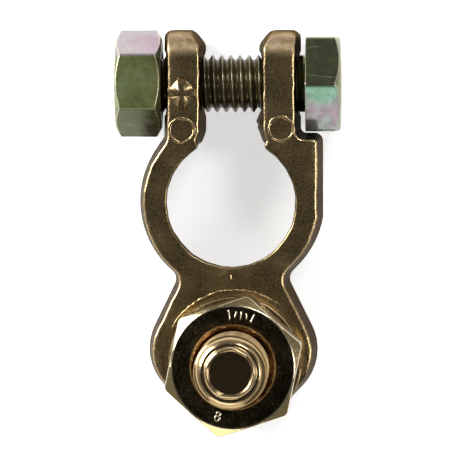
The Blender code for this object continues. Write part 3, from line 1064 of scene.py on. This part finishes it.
def spring_washer():
    """An eased rectangle carried round almost a full turn, sinking 0.3 mm on the way."""
    section = eased(
        [
            (5.3 * MM, 0, 0.12 * MM),
            (5.3 * MM, WASHER_THICK, 0.12 * MM),
            (9.05 * MM, WASHER_THICK, 0.16 * MM),
            (9.05 * MM, 0, 0.16 * MM),
        ],
        1,
        wrap=True,
    )
    radius, height, marks = np.array([[float(np.squeeze(v)) for v in row] for row in section]).T
    steps = 140
    turn = np.linspace(WASHER_GAP / 2, 2 * pi - WASHER_GAP / 2, steps)
    lift = WASHER_LOW + 0.3 * MM * (1 - np.linspace(0, 1, steps))
    ring = radius[None] + 0.02 * MM * np.sin(19 * turn)[:, None] * (marks > 0.4)[None]
    x, y = ring * np.cos(turn)[:, None], ring * np.sin(turn)[:, None]
    points = np.stack([x, y, height[None] + lift[:, None]], axis=2).reshape(-1, 3)
    here = np.arange(len(radius))
    ends = [here[::-1], (steps - 1) * len(radius) + here]
    washer = mesh_piece("m10_spring_washer", points, woven(steps, len(radius), False), ends)
    # The eased edges carry wear and a painted highlight.
    carry(washer, "worn_edge", np.tile(marks, steps))
    washer.data.set_sharp_from_angle(angle=radians(50))
    move(washer, (STUD_X, STUD_Y, 0))
    return washer


washer_finish = plated_brass(
    "spring_steel", (0.13, 0.10, 0.055), (0.24, 0.19, 0.105), (0.60, 0.46, 0.26), (0.24, 0.36)
)
fasten(spring_washer(), "washer", washer_finish, "stud_spring_washer")


# ---------------------------------------------------------------------------
# The stud nut: an M10 hexagon nut with a deep chamfer, plated golden, its top face
# darkened and stamped with plain strokes.

STUD_NUT_LOW = 16.6 * MM
STUD_NUT_HIGH = 24.6 * MM
STUD_NUT_SPIN = 18.2
RINGS_AT = radians(253)

big_nut = hex_nut(
    "m10_stud_nut",
    flats=17 * MM,
    spin=STUD_NUT_SPIN,
    low=STUD_NUT_LOW,
    high=STUD_NUT_HIGH,
    size=M10,
    sink=5.7 * MM,
    ring_share=0.977,
    play=0.18 * MM,
    tints=(0,) * 6,
)
move(big_nut, (STUD_X, STUD_Y, 0))


def golden_nut():
    """Golden plating, with painted shade that makes the top face nearly black and the bore
    red-brown, and wear with a painted highlight on the edges.
    """
    gold = Finish("golden_nut")
    cloud = gold.noise(0.5, 4.0, 0.6)
    grain = gold.noise(2.6, 5.0, 0.7)
    edge = gold.attribute("worn_edge")
    place = gold.add("ShaderNodeSeparateXYZ", {}, {"Vector": gold.place}, "Z")
    on_top = gold.spread(place, STUD_NUT_HIGH - 0.05 * MM, STUD_NUT_HIGH - 0.01 * MM)
    tone = gold.spread(cloud * 0.4 + grain * 0.6, 0.38, 0.68)
    side = gold.mix(tone, (0.50, 0.38, 0.17), (0.68, 0.54, 0.29))
    # Painted shade: the flat top face goes nearly black.
    top = gold.mix(tone * tone, (0.05, 0.04, 0.022), (0.50, 0.40, 0.22))
    colour = gold.mix(on_top * (1 - gold.spread(edge, 0.0, 0.6)), side, top)
    # Edges go pale gold: wear and a painted highlight.
    colour = gold.mix(gold.spread(edge, 0.45, 1.0), colour, (0.86, 0.78, 0.60))
    # Painted shade: the bore and its thread go dark red-brown.
    colour = gold.mix(gold.attribute("bore") * 0.85, colour, (0.30, 0.12, 0.04))
    gold.feed(base_color=colour, roughness=gold.spread(grain, 0.3, 0.7, 0.14, 0.26))
    gold.bump(grain * 0.6 + cloud * 0.4, 0.02 * MM, 0.7)
    return gold.material


def nut_stroke(name, radius, degrees, length, lean):
    """A short raised stroke on the nut's top, at a radius and angle from its axis."""
    at = radians(degrees)
    centre = radius * np.array([np.cos(at), np.sin(at)])
    way = np.array([np.cos(at + radians(lean)), np.sin(at + radians(lean))])
    share = np.linspace(-1, 1, 14)
    path = np.column_stack([centre + share[:, None] * way * length / 2, 0 * share])
    thin = np.sqrt(np.clip(1 - share**4, 0, 1)) + 0.08
    stroke = bead(name, path, 0.12 * MM * thin, 0.1 * MM * thin, False)
    move(stroke, (STUD_X, STUD_Y, STUD_NUT_HIGH))
    return stroke


gold_finish = golden_nut()
fasten(big_nut, "cable_nut", gold_finish, "stud_nut")
for number, (degrees, length, lean) in enumerate(
    ((94, 1.5, 3), (87, 1.0, -14), (81, 1.3, 0), (75, 1.0, 12), (68, 1.5, -3))
):
    stroke = nut_stroke(f"nut_stroke_{number}", 7.1 * MM, degrees, length * MM, lean)
    fasten(stroke, "cable_nut", gold_finish)

for number, (reach, size) in enumerate(((6.6, 0.27), (7.2, 0.33))):
    turn = full_turn(32)
    x = STUD_X + reach * MM * np.cos(RINGS_AT)
    y = STUD_Y + reach * MM * np.sin(RINGS_AT)
    path = size * MM * np.stack([np.cos(turn), np.sin(turn), 0 * turn], axis=1)
    ring_mark = bead(f"nut_ring_{number}", path, 0.11 * MM, 0.09 * MM, True)
    move(ring_mark, (x, y, STUD_NUT_HIGH))
    fasten(ring_mark, "cable_nut", gold_finish)
